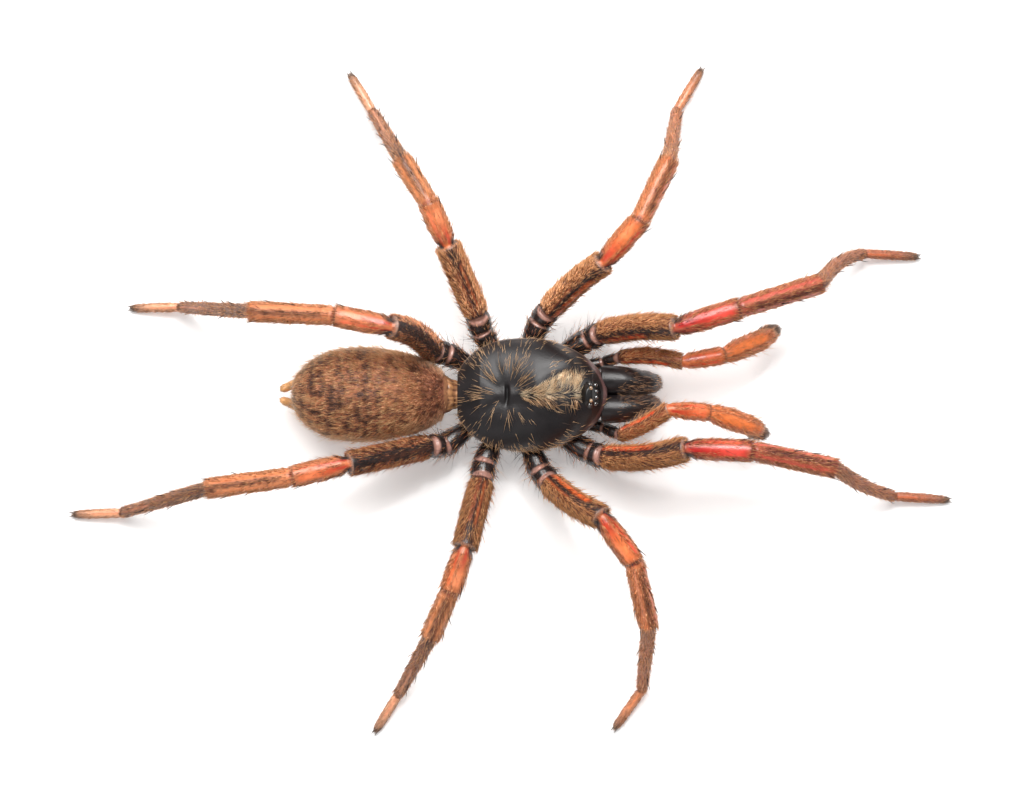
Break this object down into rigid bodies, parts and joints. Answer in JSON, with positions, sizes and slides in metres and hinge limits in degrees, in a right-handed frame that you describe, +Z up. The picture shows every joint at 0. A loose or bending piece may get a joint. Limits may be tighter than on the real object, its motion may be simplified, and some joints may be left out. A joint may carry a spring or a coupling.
{
  "type": "trapdoor spider",
  "caption": "Life-size still model of a walking adult male trapdoor spider with glossy dark carapace, orange legs and brown abdomen.",
  "frame": {"origin": "under the middle of the leg span, on the floor that the feet stand on", "axes": "+X the way the spider faces and the longest extent, +Y its left side, +Z up and the shortest extent"},
  "size_m": [0.0536, 0.0408, 0.0089],
  "materials": {
    "shell": "satin blackish cuticle of the carapace and chelicerae, with golden hairs",
    "leg_dark": "dark brown glossy cuticle of coxae and femora under golden hair",
    "leg_orange": "orange to red translucent cuticle of patellae and tibiae with bare stripes",
    "leg_foot": "hairy brown metatarsi and pinkish orange tarsi",
    "abdomen": "velvety brown pile with dark mottles",
    "pale": "pale tan soft cuticle of spinnerets and pedicel",
    "eye": "wet black eye lenses on a dark tubercle"
  },
  "bodies": {
    "root": {"abdomen": "abdomen", "carapace": "shell", "chelicera_l": "shell", "chelicera_r": "shell", "eye_tubercle": "eye", "fang_l": "shell", "fang_r": "shell", "labium": "leg_dark", "leg_l1_femur": "leg_dark", "leg_l1_tarsus": "leg_foot", "leg_l1_tibia": "leg_orange", "leg_l2_femur": "leg_dark", "leg_l2_tarsus": "leg_foot", "leg_l2_tibia": "leg_orange", "leg_l3_femur": "leg_dark", "leg_l3_tarsus": "leg_foot", "leg_l3_tibia": "leg_orange", "leg_l4_femur": "leg_dark", "leg_l4_tarsus": "leg_foot", "leg_l4_tibia": "leg_orange", "leg_r1_femur": "leg_dark", "leg_r1_tarsus": "leg_foot", "leg_r1_tibia": "leg_orange", "leg_r2_femur": "leg_dark", "leg_r2_tarsus": "leg_foot", "leg_r2_tibia": "leg_orange", "leg_r3_femur": "leg_dark", "leg_r3_tarsus": "leg_foot", "leg_r3_tibia": "leg_orange", "leg_r4_femur": "leg_dark", "leg_r4_tarsus": "leg_foot", "leg_r4_tibia": "leg_orange", "palp_l_femur": "leg_dark", "palp_l_tarsus": "leg_foot", "palp_l_tibia": "leg_orange", "palp_r_femur": "leg_dark", "palp_r_tarsus": "leg_foot", "palp_r_tibia": "leg_orange", "pedicel": "pale", "spinneret_l": "pale", "spinneret_r": "pale", "spinneret_small_l": "pale", "spinneret_small_r": "pale", "sternum": "leg_dark"}
  },
  "joints": []
}
